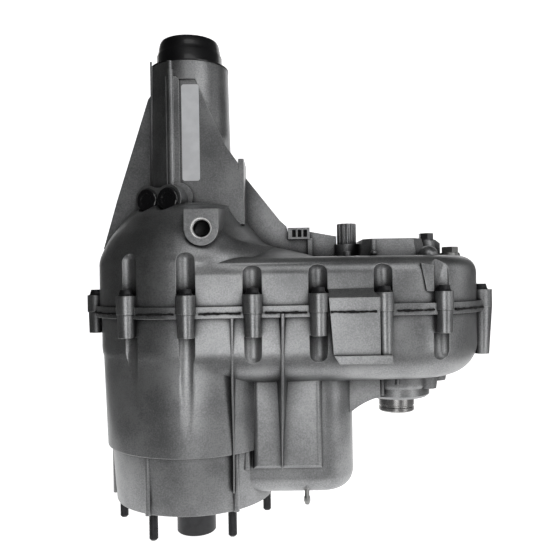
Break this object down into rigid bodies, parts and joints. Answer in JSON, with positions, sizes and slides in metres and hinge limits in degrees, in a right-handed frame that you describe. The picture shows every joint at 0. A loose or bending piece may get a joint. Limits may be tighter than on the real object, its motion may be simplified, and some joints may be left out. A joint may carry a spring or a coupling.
{
  "type": "transfer case",
  "caption": "Part-time transfer case: cast two-piece housing with planetary reduction, silent chain, shift mechanism, rear tail housing and offset front output.",
  "frame": {"origin": "centre of the input flange face, on the main shaft's axis", "axes": "+Z along the main shaft towards the rear output; +X towards the front output shaft; -Y is the side with the fill port"},
  "size_m": [0.4829, 0.2515, 0.6002],
  "materials": {
    "cast_aluminium": "as-cast satin",
    "sealant": "cured silicone, satin black",
    "black_oxide": "black oxide",
    "bearing_steel": "ground",
    "pump_aluminium": "die cast",
    "zinc_steel": "zinc plated",
    "seal_rubber": "matt",
    "phosphated_steel": "black phosphate, oiled",
    "gear_steel": "ground teeth",
    "spring_steel": "blued",
    "carrier_steel": "sintered",
    "bronze": "satin",
    "machined_steel": "turned",
    "chain_steel": "oiled",
    "collar_rubber": "smooth, semi-gloss",
    "pale_plastic": "satin",
    "black_plastic": "moulded",
    "magnet": "ferrite",
    "gloss_black": "glossy",
    "dark_steel": "dark plated",
    "cast_cap": "die cast",
    "label": "paper, bare"
  },
  "bodies": {
    "case": {"front_case": "cast_aluminium", "rear_case": "cast_aluminium", "joint_sealant": "sealant", "case_bolts": "black_oxide", "dowel_pins": "bearing_steel", "input_studs": "black_oxide", "bearing_retainer": "pump_aluminium", "retainer_bolts": "zinc_steel", "input_seal": "seal_rubber", "input_bearing": "bearing_steel", "ring_gear": "gear_steel", "ring_snap_ring": "spring_steel", "drive_chain": "chain_steel", "output_bearing": "bearing_steel", "output_needle_bearing": "bearing_steel", "output_seal": "seal_rubber", "rear_bearing": "bearing_steel", "rear_snap_ring": "spring_steel", "pump_housing": "pump_aluminium", "pump_cover": "zinc_steel", "tail_bushing": "bronze", "rear_seal": "collar_rubber", "shift_rail": "machined_steel", "rail_collar": "spring_steel", "mode_spring": "spring_steel", "shift_seal": "seal_rubber", "pickup_tube": "black_plastic", "sump_magnet": "magnet", "sensor_plug_left": "gloss_black", "sensor_plug_right": "gloss_black", "vent_tube": "zinc_steel", "hex_plug": "dark_steel", "drain_plug": "zinc_steel", "rail_cap": "cast_cap", "blank_label": "label"},
    "input": {"input_gear": "phosphated_steel", "pilot_bearing": "bearing_steel"},
    "carrier": {"planet_carrier": "carrier_steel", "planet_pins": "bearing_steel", "thrust_washers": "bronze"},
    "planet_1": {"planet_gear_1": "gear_steel"},
    "planet_2": {"planet_gear_2": "gear_steel"},
    "planet_3": {"planet_gear_3": "gear_steel"},
    "planet_4": {"planet_gear_4": "gear_steel"},
    "output_shaft": {"mainshaft": "machined_steel", "mode_hub": "gear_steel", "pump_rotor": "gear_steel", "tone_wheel": "carrier_steel"},
    "chain_drive": {"drive_sprocket": "gear_steel", "sprocket_bearing": "bearing_steel"},
    "range_clutch": {"range_sleeve": "gear_steel"},
    "mode_clutch": {"mode_sleeve": "gear_steel"},
    "front_output": {"front_output_shaft": "machined_steel", "driven_sprocket": "gear_steel", "sprocket_snap_ring": "spring_steel"},
    "range_selector": {"range_fork": "pump_aluminium"},
    "mode_selector": {"mode_fork": "pump_aluminium"},
    "sector": {"sector_shaft": "carrier_steel"},
    "transit_cap": {"transit_plug": "pale_plastic"}
  },
  "joints": [
    {"name": "input_spin", "type": "hinge", "parent": "case", "child": "input", "pos_m": [0, 0, 0], "axis": [0, 0, 1], "continuous": true},
    {"name": "output_shaft_spin", "type": "hinge", "parent": "case", "child": "output_shaft", "pos_m": [0, 0, 0], "axis": [0, 0, 1], "continuous": true},
    {"name": "chain_drive_spin", "type": "hinge", "parent": "case", "child": "chain_drive", "pos_m": [0, 0, 0], "axis": [0, 0, 1], "continuous": true},
    {"name": "front_output_spin", "type": "hinge", "parent": "case", "child": "front_output", "pos_m": [0.24765, 0, 0], "axis": [0, 0, 1], "continuous": true, "deforming": ["drive_chain"]},
    {"name": "carrier_spin", "type": "hinge", "parent": "case", "child": "carrier", "pos_m": [0, 0, 0], "axis": [0, 0, 1], "continuous": true},
    {"name": "planet_1_spin", "type": "hinge", "parent": "carrier", "child": "planet_1", "pos_m": [0.0575, 0, 0], "axis": [0, 0, 1], "continuous": true},
    {"name": "planet_2_spin", "type": "hinge", "parent": "carrier", "child": "planet_2", "pos_m": [0, 0.0575, 0], "axis": [0, 0, 1], "continuous": true},
    {"name": "planet_3_spin", "type": "hinge", "parent": "carrier", "child": "planet_3", "pos_m": [-0.0575, 0, 0], "axis": [0, 0, 1], "continuous": true},
    {"name": "planet_4_spin", "type": "hinge", "parent": "carrier", "child": "planet_4", "pos_m": [0, -0.0575, 0], "axis": [0, 0, 1], "continuous": true},
    {"name": "sector_turn", "type": "hinge", "parent": "case", "child": "sector", "pos_m": [0.146, 0, 0.078], "axis": [0, -1, 0], "range_deg": [0, 30]},
    {"name": "range_fork_slide", "type": "slide", "parent": "case", "child": "range_selector", "axis": [0, 0, 1], "range_m": [0, 0.016]},
    {"name": "range_sleeve_slide", "type": "slide", "parent": "output_shaft", "child": "range_clutch", "axis": [0, 0, 1], "range_m": [0, 0.016]},
    {"name": "mode_fork_slide", "type": "slide", "parent": "case", "child": "mode_selector", "axis": [0, 0, 1], "range_m": [0, 0.012], "deforming": ["mode_spring"]},
    {"name": "mode_sleeve_slide", "type": "slide", "parent": "output_shaft", "child": "mode_clutch", "axis": [0, 0, 1], "range_m": [0, 0.012]},
    {"name": "transit_cap_pull", "type": "slide", "parent": "case", "child": "transit_cap", "axis": [0, 0, 1], "range_m": [0, 0.09]}
  ],
  "couplings": [
    {"joint": "output_shaft_spin", "follows": "input_spin", "ratio": 1},
    {"joint": "chain_drive_spin", "follows": "input_spin", "ratio": 1},
    {"joint": "front_output_spin", "follows": "input_spin", "ratio": 1},
    {"joint": "carrier_spin", "follows": "input_spin", "ratio": 0.36957},
    {"joint": "planet_1_spin", "follows": "input_spin", "ratio": -1.7862},
    {"joint": "planet_2_spin", "follows": "input_spin", "ratio": -1.7862},
    {"joint": "planet_3_spin", "follows": "input_spin", "ratio": -1.7862},
    {"joint": "planet_4_spin", "follows": "input_spin", "ratio": -1.7862},
    {"joint": "range_fork_slide", "follows": "sector_turn", "m_per_rad": 0.030558},
    {"joint": "range_sleeve_slide", "follows": "sector_turn", "m_per_rad": 0.030558},
    {"joint": "mode_sleeve_slide", "follows": "mode_fork_slide", "ratio": 1}
  ]
}
